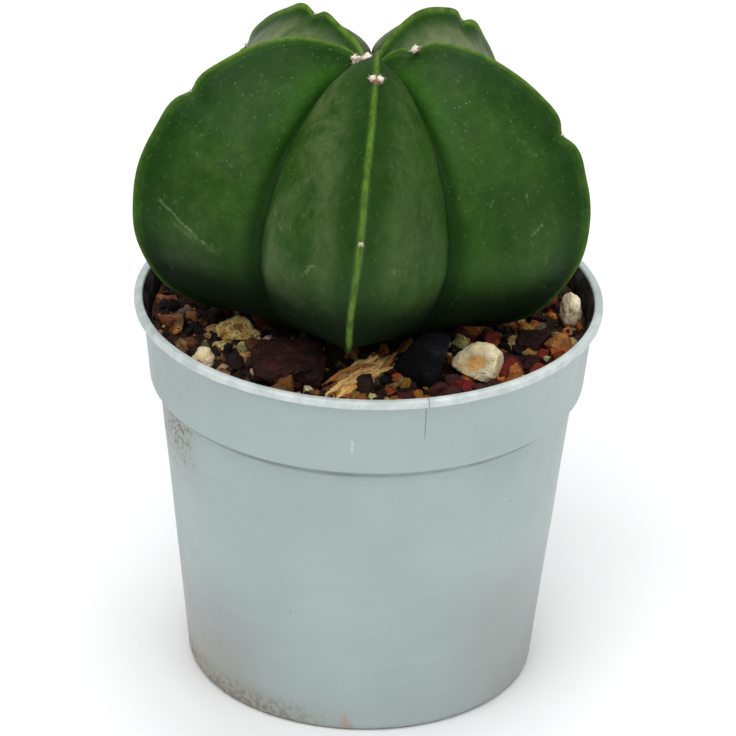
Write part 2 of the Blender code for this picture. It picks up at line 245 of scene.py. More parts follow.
def makeCamera():
    tilt = math.radians(studio["tiltDown"])
    turn = math.radians(studio["turn"])
    roll = math.radians(studio["roll"])
    ahead = Vector((math.sin(turn) * math.cos(tilt), math.cos(turn) * math.cos(tilt), -math.sin(tilt)))
    right = Vector((math.cos(turn), -math.sin(turn), 0))
    up = right.cross(ahead)
    rolledRight = math.cos(roll) * right + math.sin(roll) * up
    rolledUp = math.cos(roll) * up - math.sin(roll) * right
    data = bpy.data.cameras.new("productCamera")
    data.sensor_width = 36
    data.lens = studio["lens"]
    data.clip_end = 10
    camera = bpy.data.objects.new("productCamera", data)
    bpy.context.scene.collection.objects.link(camera)
    axes = Matrix((rolledRight, rolledUp, -ahead)).transposed().to_4x4()
    camera.matrix_world = Matrix.Translation(studio["camera"]) @ axes
    bpy.context.scene.camera = camera


def makeFloor():
    paint = Finish("studioFloor")
    tone = paint.noise(60, 2)
    pale = studio["floor"]
    paint.colour = paint.mix(tone, pale, tuple(c * 0.985 for c in pale))
    paint.surface(roughness=0.8, specular=0.2)
    half = studio["floorSize"] / 2
    corners = [(-half, -half, 0), (half, -half, 0), (half, half, 0), (-half, half, 0)]
    mesh = bpy.data.meshes.new("studioFloor")
    mesh.from_pydata(corners, [], [(0, 1, 2, 3)])
    mesh.materials.append(paint.material)
    floor = bpy.data.objects.new("studioFloor", mesh)
    bpy.context.scene.collection.objects.link(floor)


def makeLights():
    world = bpy.data.worlds.new("studioWorld")
    world.use_nodes = True
    world.node_tree.nodes["Background"].inputs["Color"].default_value = (1.0, 1.0, 1.0, 1.0)
    world.node_tree.nodes["Background"].inputs["Strength"].default_value = studio["world"]
    bpy.context.scene.world = world
    for name, place, target, size, watts in studio["lights"]:
        data = bpy.data.lights.new(name, "AREA")
        data.size = size
        data.energy = watts
        lamp = bpy.data.objects.new(name, data)
        bpy.context.scene.collection.objects.link(lamp)
        lamp.location = place
        lamp.rotation_euler = (Vector(target) - Vector(place)).to_track_quat("-Z", "Y").to_euler()


bpy.context.scene.view_settings.view_transform = "Standard"
makeCamera()
makeFloor()
makeLights()
print("studio ready")


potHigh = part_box("pot")[1]
pot = {
    "height": potHigh.z, "rim": potHigh.x, "wall": 0.6 * mm, "segments": 320,
    "collarHeight": 10.3 * mm, "collarTop": 26.5 * mm, "collarFoot": 25.6 * mm,
    "shoulder": 24.5 * mm, "foot": 20.75 * mm, "footRound": 1.0 * mm, "lipHeight": 1.0 * mm,
    "floorLift": 1.2 * mm, "pad": 5.0 * mm, "ringWidth": 2.0 * mm, "axisHole": 0.2 * mm,
    "lipCrest": 0.25 * mm, "lipEdge": 0.35 * mm, "lipUnder": 0.22 * mm, "collarRound": 0.45 * mm,
    "swell": 0.10 * mm, "lipWaver": 0.12 * mm,
    "drains": 8, "drainRadius": 1.7 * mm, "drainCircle": 12.0 * mm, "drainSegments": 40,
    "seamTurn": 15.0, "nick": (-1.4, 41.0),  # in degrees, and across and up in millimetres
    "plastic": (0.365, 0.440, 0.440), "shade": (0.335, 0.405, 0.405), "warmStain": (0.322, 0.314, 0.291),
    "dirt": (0.120, 0.085, 0.052), "dust": (0.290, 0.265, 0.190), "innerDirt": (0.014, 0.011, 0.010),
    "rubbed": (0.64, 0.69, 0.67), "streak": (0.62, 0.70, 0.70), "shadowLine": (0.16, 0.19, 0.19),
    "seam": (0.24, 0.20, 0.19), "clay": (0.36, 0.25, 0.18), "nickPale": (0.66, 0.72, 0.72),
}


def arcPoints(centre, radius, start, end, count):
    angles = np.radians(np.linspace(start, end, count))
    return [(centre[0] + radius * math.cos(a), centre[1] + radius * math.sin(a)) for a in angles]


def finely(points, step):
    # the outline again, with no stretch longer than the step
    fine = [points[0]]
    for before, after in zip(points, points[1:]):
        length = math.hypot(after[0] - before[0], after[1] - before[1])
        count = max(1, math.ceil(length / step))
        for i in range(1, count + 1):
            share = i / count
            fine.append(tuple(b + (a - b) * share for b, a in zip(before, after)))
    return fine


def potOutline():
    # up the inside, over the rolled lip and down the outside
    wall = pot["wall"]
    top = pot["height"]
    shoulder = top - pot["collarHeight"]
    lipFoot = top - pot["lipHeight"]
    footInner = pot["foot"] - pot["footRound"] - pot["ringWidth"]
    lift = pot["floorLift"]
    inside = [
        (pot["axisHole"], wall), (pot["pad"] - wall, wall), (pot["pad"] + lift - wall, lift + wall),
        (footInner - lift / 2 + wall, lift + wall), (footInner + wall, wall),
        (pot["foot"] - wall - pot["footRound"], wall), (pot["foot"] - wall, wall + pot["footRound"]),
        (pot["shoulder"] - wall, shoulder + wall), (pot["collarFoot"] - wall, shoulder + 1.5 * wall),
        (pot["collarTop"] - wall, lipFoot),
    ]
    crest, edge, under, corner = (pot[key] for key in ("lipCrest", "lipEdge", "lipUnder", "collarRound"))
    lip = [(pot["rim"] - 3 * edge, top - edge)]
    lip += arcPoints((pot["rim"] - 3 * crest, top - crest), crest, 170, 90, 5)
    lip += arcPoints((pot["rim"] - edge, top - edge), edge, 90, 0, 7)
    lip += arcPoints((pot["rim"] - under, lipFoot + under), under, 0, -90, 5)
    lip += [(pot["collarTop"] + 0.15 * mm, lipFoot + 0.02 * mm), (pot["collarTop"], lipFoot - 0.15 * mm)]
    outside = arcPoints((pot["collarFoot"] - corner, shoulder + corner), corner, 0, -90, 6)
    outside += [(pot["shoulder"] + 0.2 * mm, shoulder), (pot["shoulder"], shoulder - 0.25 * mm)]
    outside += arcPoints((pot["foot"] - pot["footRound"], pot["footRound"]), pot["footRound"], 0, -90, 8)
    outside += [(footInner, 0), (footInner - lift / 2, lift), (pot["pad"] + lift, lift), (pot["pad"], 0),
                (pot["axisHole"], 0)]
    return finely(inside, 2.5 * mm), finely(lip, 0.5 * mm), finely(outside, 1.2 * mm)


def potMesh():
    inside, lip, outside = potOutline()
    outline = inside + lip + outside
    count = pot["segments"]
    lipFoot = pot["height"] - pot["lipHeight"]
    verts = []
    inner = []
    for i, (radius, height) in enumerate(outline):
        high = min(1.0, max(0.0, height / pot["height"]))
        underLip = len(inside) <= i < len(inside) + len(lip) and height < lipFoot + 0.3 * mm
        for angle in ringAngles(count):
            spot = Vector((math.cos(angle), math.sin(angle), height / (12 * mm)))
            # softly out of round, and uneven under the lip
            wide = radius + pot["swell"] * high * noise.noise(spot * 0.9)
            drop = pot["lipWaver"] * noise.noise(spot * 9.0) if underLip else 0.0
            verts.append((math.cos(angle) * wide, math.sin(angle) * wide, height + drop))
            inner.append(1.0 if i <= len(inside) else 0.0)
    tips = len(verts)
    verts += [(0, 0, pot["wall"]), (0, 0, 0)]
    inner += [1.0, 0.0]
    faces = ringFaces(len(outline), count)
    faces += capFaces(0, count, tips, True)
    faces += capFaces((len(outline) - 1) * count, count, tips + 1, False)
    return verts, faces, inner


def drillDrains(piece):
    bm = bmesh.new()
    for angle in ringAngles(pot["drains"]):
        angle += math.pi / pot["drains"]
        place = Vector((math.cos(angle), math.sin(angle), 0)) * pot["drainCircle"]
        place.z = pot["floorLift"] + pot["wall"] / 2
        bmesh.ops.create_cone(bm, cap_ends=True, segments=pot["drainSegments"], radius1=pot["drainRadius"],
                              radius2=pot["drainRadius"], depth=4 * pot["wall"],
                              matrix=Matrix.Translation(place))
    mesh = bpy.data.meshes.new("drainDrill")
    bm.to_mesh(mesh)
    bm.free()
    drill = bpy.data.objects.new("drainDrill", mesh)
    bpy.context.scene.collection.objects.link(drill)
    holes = piece.modifiers.new("drains", "BOOLEAN")
    holes.operation = "DIFFERENCE"
    holes.solver = "EXACT"
    holes.object = drill
    bpy.context.view_layer.update()
    solved = piece.evaluated_get(bpy.context.evaluated_depsgraph_get())
    drilled = bpy.data.meshes.new_from_object(solved)
    piece.modifiers.clear()
    piece.data = drilled
    bpy.data.objects.remove(drill)


def potPlastic():
    plastic = Finish("growerPotPlastic")
    x, y, z = plastic.axes()
    top = pot["height"] / mm
    shoulder = (pot["height"] - pot["collarHeight"]) / mm
    inner = plastic.attribute("inner")
    outer = 1 - inner
    cloud = plastic.noise(16, 3)
    plastic.colour = plastic.mix(plastic.fade(cloud, 0.35, 0.7), pot["plastic"], pot["shade"])
    # the top of the lip is pale: partly rubbed, whitened plastic, partly a painted highlight that grows
    # stronger towards the front
    lipTop = plastic.fade(z, top - 1.15, top - 0.8) * outer
    lipTone = plastic.fade(plastic.noise(1.8, 3), 0.3, 0.7, 0.40, 0.95) * plastic.fade(y, 12, -20, 0.6, 1.0)
    plastic.lay(lipTop * lipTone, pot["rubbed"])
    # fine moulding streaks round the wall
    streak = plastic.noise(3.0, 2, stretch=(0.25, 0.25, 3.0))
    plastic.lay(plastic.fade(streak, 0.45, 0.75, 0, 0.045), pot["streak"])
    # warm stains low on both sides, deeper on the left, with painted shade that darkens the whole wall
    # towards the foot
    stainCloud = plastic.fade(plastic.noise(9, 4, 0.6), 0.30, 0.62, 0.55, 1.0)
    stainRight = plastic.fade(x, 7, 18) * plastic.fade(z, 25, 12) * 0.5
    stainLeft = plastic.fade(x, -7, -18) * plastic.fade(z, 20, 2) * 0.85
    # the last term is painted shade, darker towards the foot
    stain = (stainRight + stainLeft) * stainCloud + plastic.fade(z, 14, 0, 0, 0.12)
    plastic.lay(stain * outer, pot["warmStain"])
    # grime gathered under the shoulder on the left, and along the foot
    left = plastic.fade(x, -18.4, -21.6) * plastic.fade(y, 6, 1)
    speck = plastic.noise(0.7, 3, 0.65)
    underShoulder = plastic.fade(z, shoulder - 12, shoulder - 0.5)
    underShoulder = underShoulder * plastic.fade(z, shoulder + 0.2, shoulder - 0.4)
    patchy = plastic.fade(plastic.noise(3.2, 3), 0.32, 0.54)
    grime = left * underShoulder * plastic.fade(speck, 0.50, 0.60) * patchy
    footLeft = plastic.fade(x, 2, -13)
    foot = plastic.fade(z, 4.5, 0.2) * footLeft * plastic.fade(speck, 0.46, 0.58)
    dusty = left * underShoulder * 0.45 + plastic.fade(z, 5.0, 0.5) * footLeft * 0.55
    plastic.lay(dusty * outer, pot["dust"])
    ring = plastic.fade(z, 0.9, 0.0) * plastic.fade(plastic.noise(1.6, 3), 0.45, 0.62)
    dots = plastic.fade(plastic.cells(4.2), 0.045, 0.025)
    grimeAll = (grime * 0.8 + foot * 0.55 + ring * 0.5 + dots * 0.48) * outer
    grimeAll = plastic.node("ShaderNodeClamp", {}, {0: grimeAll})
    plastic.lay(grimeAll, pot["dirt"])
    # painted shade: the corner under the shoulder holds a dark line
    line = plastic.fade(z, shoulder - 1.05, shoulder - 0.75)
    line = line * plastic.fade(z, shoulder + 0.25, shoulder + 0.05)
    lineBreak = plastic.fade(plastic.noise(5, 2), 0.3, 0.6, 0.42, 0.72)
    plastic.lay(line * lineBreak * outer, pot["shadowLine"])
    # seam in the collar
    turn = math.radians(pot["seamTurn"])
    across = x * math.cos(turn) + y * math.sin(turn)
    front = plastic.fade(y, 0, -5)
    wander = (plastic.noise(3, 2) - 0.5) * 0.35
    seam = plastic.fade(abs(across + wander), 0.07, 0.02) * front * plastic.fade(z, top - 6.2, top - 4.6)
    plastic.lay(seam * 0.38, pot["seam"])
    # a pale nick in the collar and a dried splash of clay at the foot
    offSide = abs(x - pot["nick"][0] + wander)
    nick = plastic.fade(offSide, 0.24, 0.08) * plastic.fade(abs(z - pot["nick"][1]), 1.05, 0.55) * front
    plastic.lay(nick * 0.38, pot["nickPale"])
    splash = plastic.fade(offSide + z * 0.45 + plastic.noise(0.7, 3) * 1.8, 2.4, 1.7) * front
    plastic.lay(splash * 0.60, pot["clay"])
    # a nearly black matt film laid over the inside wall, patchy in tone
    innerCover = plastic.fade(plastic.noise(2.4, 4), 0.25, 0.55, 0.90, 1.0)
    innerDarkPale = tuple(c * 2.2 for c in pot["innerDirt"])
    filmTone = plastic.mix(plastic.noise(1.1, 4), pot["innerDirt"], innerDarkPale)
    film = plastic.node("ShaderNodeBsdfPrincipled", {},
                        {"Base Color": filmTone, "Roughness": 1.0, "Specular IOR Level": 0.0})
    wall = Wire(plastic, plastic.shader.outputs[0])
    layered = plastic.node("ShaderNodeMixShader", {}, {0: inner * innerCover, 1: wall, 2: film})
    plastic.feed(plastic.tree.nodes["Material Output"].inputs["Surface"], layered)
    height = plastic.noise(0.35, 2) * 0.03 + plastic.noise(7, 2) * 0.25 - seam * 0.5 + grimeAll * 0.25
    plastic.surface(specular=0.45,
                    roughness=plastic.fade(cloud, 0.3, 0.7, 0.36, 0.50) + grimeAll * 0.35,
                    normal=plastic.bump(height, 0.25))
    return plastic


def makePot():
    verts, faces, inner = potMesh()
    piece = meshPiece("growerPot", verts, faces, potPlastic(), ["pot"], {"inner": inner}, 40)
    drillDrains(piece)


makePot()
print("pot made")


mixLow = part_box("growing_mix")[0]
bed = {
    "height": pot["height"] - 4.0 * mm, "radius": 25.45 * mm, "rings": 110, "segments": 300,
    "lumps": 0.55 * mm, "bank": 0.7 * mm,
    "peat": (0.006, 0.004, 0.003), "crumb": (0.030, 0.015, 0.008), "rust": (0.070, 0.022, 0.009),
    "fibre": (0.13, 0.08, 0.04),
}


def bedTop(x, y):
    # the uneven top, a little higher by the wall
    spot = Vector((x, y, 0)) / mm
    rise = noise.fractal(spot / 3.2, 0.8, 2.1, 4) * bed["lumps"]
    edge = max(0.0, math.hypot(x, y) / bed["radius"] - 0.72) / 0.28
    return bed["height"] + 0.25 * mm + rise + bed["bank"] * edge * edge


def peat():
    soil = Finish("pottingMix")
    lump = soil.noise(1.4, 4, 0.65)
    fine = soil.noise(0.45, 3, 0.7)
    stops = [(0.30, bed["peat"]), (0.52, bed["crumb"]), (0.66, bed["rust"]), (0.80, bed["crumb"])]
    soil.colour = soil.mix(soil.fade(fine, 0.62, 0.75, 0, 0.4), soil.ramp(lump, stops), bed["fibre"])
    soil.surface(roughness=soil.fade(fine, 0.3, 0.7, 0.75, 0.98), specular=0.25,
                 normal=soil.bump(fine + lump * 0.8, 0.35))
    return soil


def makeBed():
    rings = bed["rings"]
    count = bed["segments"]
    bottom = mixLow.z
    verts = []
    for i in range(1, rings + 1):
        radius = bed["radius"] * i / rings
        for angle in ringAngles(count):
            x = radius * math.cos(angle)
            y = radius * math.sin(angle)
            verts.append((x, y, bedTop(x, y)))
    shoulder = pot["height"] - pot["collarHeight"]
    gap = pot["wall"] + clearance
    side = [(pot["collarFoot"] - gap, shoulder + 1.4 * mm), (pot["shoulder"] - gap, shoulder + 0.9 * mm),
            (pot["foot"] - gap, bottom + 0.9 * mm), (pot["foot"] - 2 * gap, bottom)]
    for radius, height in side:
        verts += [(radius * math.cos(angle), radius * math.sin(angle), height) for angle in ringAngles(count)]
    tips = len(verts)
    verts += [(0, 0, bedTop(0, 0)), (0, 0, bottom)]
    faces = ringFaces(rings + len(side), count)
    faces += capFaces(0, count, tips, True)
    faces += capFaces((rings + len(side) - 1) * count, count, tips + 1, False)
    meshPiece("pottingMixBed", verts, faces, peat(), ["growing_mix"])


makeBed()
print("bed made")


stem = {
    "leanX": -4.5, "leanY": 3.6,
    # outlines and sizes in millimetres: out from the axis, up from the neck
    "crest": [(0.6, 33.1), (3.7, 35.5), (8.7, 37.1), (14.0, 36.3), (19.3, 33.4), (23.6, 28.9), (26.4, 23.2),
              (26.9, 18.2), (25.9, 13.1), (22.5, 7.8), (17.5, 4.8), (12.0, 3.7), (7.6, 3.0), (4.6, 1.2)],
    "valley": [(0.5, 32.2), (4.4, 32.0), (7.8, 31.0), (10.7, 29.1), (14.8, 24.2), (17.3, 18.1),
               (17.5, 13.0), (15.3, 7.4), (11.5, 3.6), (7.6, 1.9), (4.3, 0.7)],
    "root": [(4.3, -0.6), (4.1, -3.0), (3.5, -6.5), (2.4, -10.0), (1.2, -12.5)], "rootTip": -13.2,
    "rows": 250, "cadRows": 34, "flankSteps": 28, "crowding": 1.9, "bulge": 0.125,
    "beadHeight": 0.46, "beadWidth": 0.54, "meander": 0.34, "waver": 0.22, "dents": 0.16,
    "notchDepth": 0.70, "notchWidth": 0.016, "notchSwell": 0.28,
    "fullness": (1.25, 0.62), "liftStart": 0.12, "crownDip": 0.2,
}
ribs = [
    # areoles: how far down the crest, size of the wool, depth of the notch
    {"name": "front", "turn": 0.0, "valley": 35.4, "reach": 1.003, "lift": 0.07, "curl": 0.60,
     "bloom": 1.0, "areoles": [(0.215, 0.85, 0.3), (0.505, 0.36, 0.5)]},
    {"name": "right", "turn": 73.6, "valley": 106.9, "reach": 1.010, "lift": -0.25, "curl": 0.0,
     "bloom": 0.15, "areoles": [(0.082, 0.80, 0.6), (0.380, 0.22, 1.0)]},
    {"name": "back_right", "turn": 140.1, "valley": 177.7, "reach": 0.968, "lift": 0.46, "curl": 0.0,
     "bloom": 1.5, "areoles": [(0.262, 0.35, 0.9)]},
    {"name": "back_left", "turn": 215.3, "valley": 252.1, "reach": 1.035, "lift": -1.35, "curl": 0.0,
     "bloom": 1.4, "areoles": [(0.165, 0.3, 1.1), (0.400, 0.5, 0.7)]},
    {"name": "left", "turn": 288.8, "valley": 323.6, "reach": 0.993, "lift": -0.95, "curl": 0.0,
     "bloom": 0.1, "areoles": [(0.340, 0.22, 0.8)]},
]


def standAt(line, turn, reach=1.0, lift=0.0):
    angle = math.radians(turn)
    radius = line[:, 0] * reach
    return np.stack([radius * math.sin(angle), -radius * math.cos(angle), line[:, 1] + lift], axis=1)


def unit(vectors):
    return vectors / np.maximum(np.linalg.norm(vectors, axis=1)[:, None], 1e-9)


def smoothStep(value):
    held = np.clip(value, 0, 1)
    return held * held * (3 - 2 * held)


def bareCrest(rib, count):
    # the rib's lift grows from the crown and fades out towards the neck
    down = np.linspace(0, 1, count)
    lift = rib["lift"] * smoothStep(down / stem["liftStart"]) * (1 - down**2)
    return standAt(smoothLine(stem["crest"], count), rib["turn"], rib["reach"], lift)


def crestLine(rib, count):
    # the crest's points and the way out from it, with its notches, in millimetres
    line = bareCrest(rib, count)
    angle = math.radians(rib["turn"])
    across = np.array([math.cos(angle), math.sin(angle), 0.0])
    outward = -unit(np.cross(np.tile(across, (count, 1)), np.gradient(line, axis=0)))
    share = np.linspace(0, 1, count)
    sway, waver = (np.array([noise.noise(Vector((s * pace, rib["turn"], layer))) for s in share])
                   for pace, layer in ((7.0, 3.0), (9.0, 8.0)))
    ends = np.clip(share / 0.06, 0, 1) * np.clip((1 - share) / 0.25, 0, 1)
    push = stem["waver"] * waver * ends
    for where, _, depth in rib["areoles"]:
        off = (share - where) / stem["notchWidth"]
        push -= stem["notchDepth"] * depth * np.exp(-off**2)
        push += stem["notchSwell"] * depth * np.exp(-((off - 2.6) / 1.6)**2)
        push += stem["notchSwell"] * 0.6 * depth * np.exp(-((off + 2.4) / 1.4)**2)
    curl = rib["curl"] * smoothStep(share / 0.10) * (1 - smoothStep((share - 0.15) / 0.42))
    sideways = across[None, :] * (stem["meander"] * sway * ends + curl)[:, None]
    return line, outward, push, sideways


def fullness(share):
    # a flank is thin at its crest and fullest past the middle, then turns sharply into the valley
    rise, fall = stem["fullness"]
    peak = rise / (rise + fall)
    return share**rise * (1 - share)**fall / (peak**rise * (1 - peak)**fall)


def flankLine(rib, valley, side, share, crest):
    # one line down a flank; also how far it is from the crest and from the valley
    line, outward, push, sideways = crest
    chord = valley - line
    width = np.linalg.norm(chord, axis=1)
    away = side * unit(np.cross(np.gradient((line + valley) / 2, axis=0), chord))
    down = np.linspace(0, 1, len(line))
    depth = stem["bulge"] * (1 - smoothStep((down - 0.55) / 0.25))
    swell = depth * fullness(share) * width
    fromCrest = share * width
    bead = stem["beadHeight"] * np.exp(-(fromCrest / stem["beadWidth"])**2) * np.clip(width / 4, 0, 1)
    near = np.exp(-(fromCrest / 2.2)**2)
    points = line + chord * share + away * swell[:, None]
    points += outward * (bead + push * near)[:, None] + sideways * (1 - share)**3
    return points, fromCrest, (1 - share) * width, away


def stemShape():
    rows = stem["rows"]
    steps = stem["flankSteps"]
    shares = [(i / steps)**stem["crowding"] for i in range(steps + 1)]
    valleyShape = smoothLine(stem["valley"], rows)
    columns = []
    for i, rib in enumerate(ribs):
        crest = crestLine(rib, rows)
        sides = ((-1, ribs[i - 1]["valley"], range(steps, 0, -1)), (1, rib["valley"], range(steps)))
        for side, valleyTurn, order in sides:
            valley = standAt(valleyShape, valleyTurn)
            for step in order:
                points, fromCrest, fromValley, away = flankLine(rib, valley, side, shares[step], crest)
                bloom = np.full(rows, rib["bloom"])
                columns.append({"points": points, "away": away, "crest": fromCrest, "valley": fromValley,
                                "down": np.linspace(0, 1, rows), "bloom": bloom})
    return columns


def stemMatrix():
    # leans the stem and brings its box to the CAD stem's box
    lean = Euler((math.radians(stem["leanX"]), math.radians(stem["leanY"]), 0)).to_matrix()
    low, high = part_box("cactus_stem")
    outline = []
    for rib in ribs:
        outline += [lean @ Vector(point) * mm for point in bareCrest(rib, stem["cadRows"])]
    foot = lean @ Vector((0, 0, stem["rootTip"])) * mm
    shift = [high[i] - max(p[i] for p in outline) for i in range(3)]
    shift[2] = low.z - foot.z
    return Matrix.Translation(shift) @ lean.to_4x4() @ Matrix.Scale(mm, 4)


skinTones = {
    "deep": (0.012, 0.046, 0.004), "plain": (0.024, 0.074, 0.008), "patch": (0.050, 0.108, 0.016),
    "powder": (0.078, 0.118, 0.040), "fresh": (0.044, 0.150, 0.012), "beside": (0.007, 0.034, 0.003),
    "valley": (0.004, 0.022, 0.002), "tuck": (0.003, 0.009, 0.002), "cork": (0.10, 0.075, 0.045),
    "ridge": (0.112, 0.210, 0.026), "fleck": (0.42, 0.52, 0.34), "rub": (0.150, 0.220, 0.100),
    "chalk": (0.190, 0.235, 0.115), "scratch": (0.24, 0.32, 0.17),
    # pale marks: ends across and up in millimetres, half width, strength
    "marks": [((-24.3, 64.3), (-18.8, 60.4), 0.26, 0.42), ((-22.6, 62.0), (-17.6, 59.6), 0.60, 0.16),
              ((-7.6, 60.8), (-6.3, 62.8), 0.30, 0.30), ((18.4, 61.7), (19.5, 62.8), 0.26, 0.34),
              ((2.4, 62.6), (3.3, 62.0), 0.60, 0.28), ((-11.0, 66.5), (-9.8, 64.9), 0.22, 0.18)],
}


def paleMark(finish, x, z, start, end, half):
    # 1 along a scratch between two places on the front, fading out over its half width
    reach = (end[0] - start[0], end[1] - start[1])
    length = math.hypot(*reach)
    aheadX = reach[0] / length
    aheadZ = reach[1] / length
    along = (x - start[0]) * aheadX + (z - start[1]) * aheadZ
    aside = (x - start[0]) * aheadZ - (z - start[1]) * aheadX
    inside = finish.fade(along, -half, half) * finish.fade(along, length + half, length - half)
    return finish.fade(abs(aside), half, half * 0.2) * inside


def skin():
    green = Finish("cactusSkin")
    tones = skinTones
    crest = green.attribute("crest")
    valley = green.attribute("valley")
    down = green.attribute("down")
    bloom = green.attribute("bloom")
    large = green.noise(9, 3, 0.6)
    middle = green.noise(2.6, 4, 0.62)
    fine = green.noise(0.55, 3, 0.6)
    x, y, z = green.axes()
    # deep green flank, lighter and yellower in patches
    green.colour = green.mix(green.fade(large, 0.34, 0.68), tones["deep"], tones["plain"])
    green.lay(green.fade(middle, 0.45, 0.75, 0, 0.50), tones["patch"])
    # grey-olive bloom over the middle of the flanks, in upright drifts; partly painted light, twice as strong
    # on the lit left side as on the right
    drift = green.noise(5, 5, 0.66, 0.3, (1.0, 1.0, 0.45))
    flankMiddle = green.fade(crest, 0.8, 5.0) * green.fade(valley, 0.4, 4.0)
    powder = flankMiddle * green.fade(drift, 0.36, 0.64) * (bloom * 0.70 + 0.14)
    green.lay(powder * green.fade(x, -3, 3, 1.0, 0.5), tones["powder"])
    # the ribs behind are chalky
    chalk = green.fade(bloom, 1.0, 1.5) * green.fade(crest, 0.6, 3.0)
    chalk = chalk * green.fade(down, 0.26, 0.50, 1.0, 0.22) * green.fade(drift, 0.30, 0.60, 0.35, 0.85)
    green.lay(chalk, tones["chalk"])
    # brighter, wetter green high in the valleys
    fresh = green.fade(valley, 4.6, 0.8) * green.fade(down, 0.50, 0.18) * green.fade(bloom, 0.8, 0.4)
    green.lay(fresh * 0.70, tones["fresh"])
    # dark band beside the crest, wider on the side ribs; partly the skin's darker green, partly painted shade
    band = green.fade(crest, 5.2, 1.4) * green.fade(bloom, 0.9, 0.3, 0.50, 0.80)
    green.lay(green.fade(crest, 0.55, 1.0) * band, tones["beside"])
    # small blotches all over
    blotch = green.noise(1.0, 4, 0.7)
    green.lay(green.fade(blotch, 0.40, 0.66, 0.0, 0.34), tones["deep"])
    green.lay(green.fade(fine, 0.56, 0.78, 0.0, 0.22), tones["rub"])
    # painted shade: the flanks darken into the valley crease, darkest in a thin line along it
    green.lay(green.fade(valley, 2.8, 0.3, 0, 0.70), tones["valley"])
    green.lay(green.fade(valley, 0.55, 0.08, 0, 0.85), tones["valley"])
    # painted shade: the ribs darken where they turn under
    tuck = green.fade(down + (middle - 0.5) * 0.06, 0.56, 0.69)
    green.lay(tuck * 0.95, tones["tuck"])
    # corky grey-brown patches far down and on the back
    cork = green.fade(green.noise(5, 4, 0.65), 0.60, 0.70) * green.fade(down, 0.74, 0.92)
    green.lay(cork * 0.30, tones["cork"])
    # crest ridge, pale yellow-green, dying away underneath; partly its own paler colour, partly a painted
    # glow of light through the thin crest
    ridgeBreak = green.fade(green.noise(1.3, 4, 0.65), 0.34, 0.62, 0.42, 1.0)
    onSide = green.fade(bloom, 0.95, 0.80)
    ridgeWidth = green.fade(crest + onSide * 0.20, 0.70, 0.22)
    ridge = ridgeWidth * ridgeBreak * green.fade(down, 0.84, 0.66, 0.08, 1.0)
    ridge = ridge * (1 - onSide * green.fade(down, 0.28, 0.42, 0.0, 0.55))
    green.lay(ridge, tones["ridge"])
    # tiny white flecks in loose drifts on the upper flanks
    fleckPick = green.cells(0.62, "Color")
    fleckDrift = green.fade(green.noise(4, 3, 0.6), 0.50, 0.60, 0.05, 1.0)
    fleck = green.fade(green.cells(0.62), 0.17, 0.08) * green.fade(fleckPick, 0.58, 0.66) * fleckDrift
    fleck = fleck * green.fade(down, 0.56, 0.34) * green.fade(bloom, 0.9, 0.3, 0.25, 1.0)
    green.lay(fleck * 0.50, tones["fleck"])
    # dust and pale rubs
    rub = green.fade(green.noise(1.2, 3, 0.7, 0.4, (1.0, 1.0, 0.35)), 0.64, 0.74) * flankMiddle
    green.lay(rub * 0.35, tones["rub"])
    grazed = green.fade(y, -4, -6) * green.fade(green.noise(0.7, 4, 0.7), 0.36, 0.62, 0.05, 1.0)
    for start, end, half, strength in tones["marks"]:
        wander = (green.noise(1.2, 3) - 0.5) * 1.1
        mark = paleMark(green, x + wander, z, start, end, half) * grazed
        green.lay(mark * strength, tones["scratch"])
    height = fine * 0.14 + middle * 0.35 + fleck * 0.4
    green.surface(specular=0.09,
                  roughness=green.fade(middle, 0.35, 0.7, 0.38, 0.54) + ridge * 0.1 + tuck * 0.35,
                  normal=green.bump(height, 0.24))
    return green


def makeStem():
    columns = stemShape()
    rows = stem["rows"]
    count = len(columns)
    place = stemMatrix()
    verts = []
    marks = {"crest": [], "valley": [], "down": [], "bloom": []}
    hidden = {"crest": 5.0, "valley": 5.0, "down": 1.0, "bloom": 0.0}  # on the root
    for row in range(rows):
        for column in columns:
            point = column["points"][row]
            dent = stem["dents"] * noise.fractal(Vector(point) / 6.0 + Vector((5, 1, 7)), 1.0, 2.0, 3)
            dent *= min(1.0, column["crest"][row] / 2.0, column["valley"][row] / 1.2 + 0.15)
            verts.append(place @ Vector(point + column["away"][row] * dent))
            for key, values in marks.items():
                values.append(column[key][row])
    neck = [math.atan2(column["points"][-1][1], column["points"][-1][0]) for column in columns]
    for radius, height in stem["root"]:
        for angle in neck:
            verts.append(place @ Vector((radius * math.cos(angle), radius * math.sin(angle), height)))
    tips = len(verts)
    crownHeight = float(np.mean([column["points"][0][2] for column in columns])) - stem["crownDip"]
    verts += [place @ Vector((0, 0, crownHeight)), place @ Vector((0, 0, stem["rootTip"]))]
    for key, values in marks.items():
        values += [hidden[key]] * (tips - len(values))
        values += [0.0 if key == "down" else hidden[key]] * 2
    rings = rows + len(stem["root"])
    faces = ringFaces(rings, count)
    faces += capFaces(0, count, tips, True)
    faces += capFaces((rings - 1) * count, count, tips + 1, False)
    meshPiece("cactusStem", verts, faces, skin(), ["cactus_stem"], marks)


makeStem()
print("stem made")


wool = {
    "hairs": 110, "crownHairs": 300, "crownSize": 1.65, "padRadius": 0.58, "padHeight": 0.34,
    "hairLength": 0.46, "hairRadius": 0.034,
    "white": (0.82, 0.78, 0.70), "cream": (0.68, 0.54, 0.42), "scar": (0.17, 0.075, 0.045),
}


def woolFibre():
    fibre = Finish("areoleWool")
    depth = fibre.attribute("depth")
    fibre.colour = fibre.mix(fibre.fade(fibre.noise(0.5, 3), 0.35, 0.65), wool["white"], wool["cream"])
    fibre.lay(fibre.fade(depth, 0.55, 0.95), wool["scar"])
    fibre.surface(roughness=0.92, specular=0.2, sheenWeight=0.3,
                  normal=fibre.bump(fibre.noise(0.12, 2), 0.05))
    return fibre


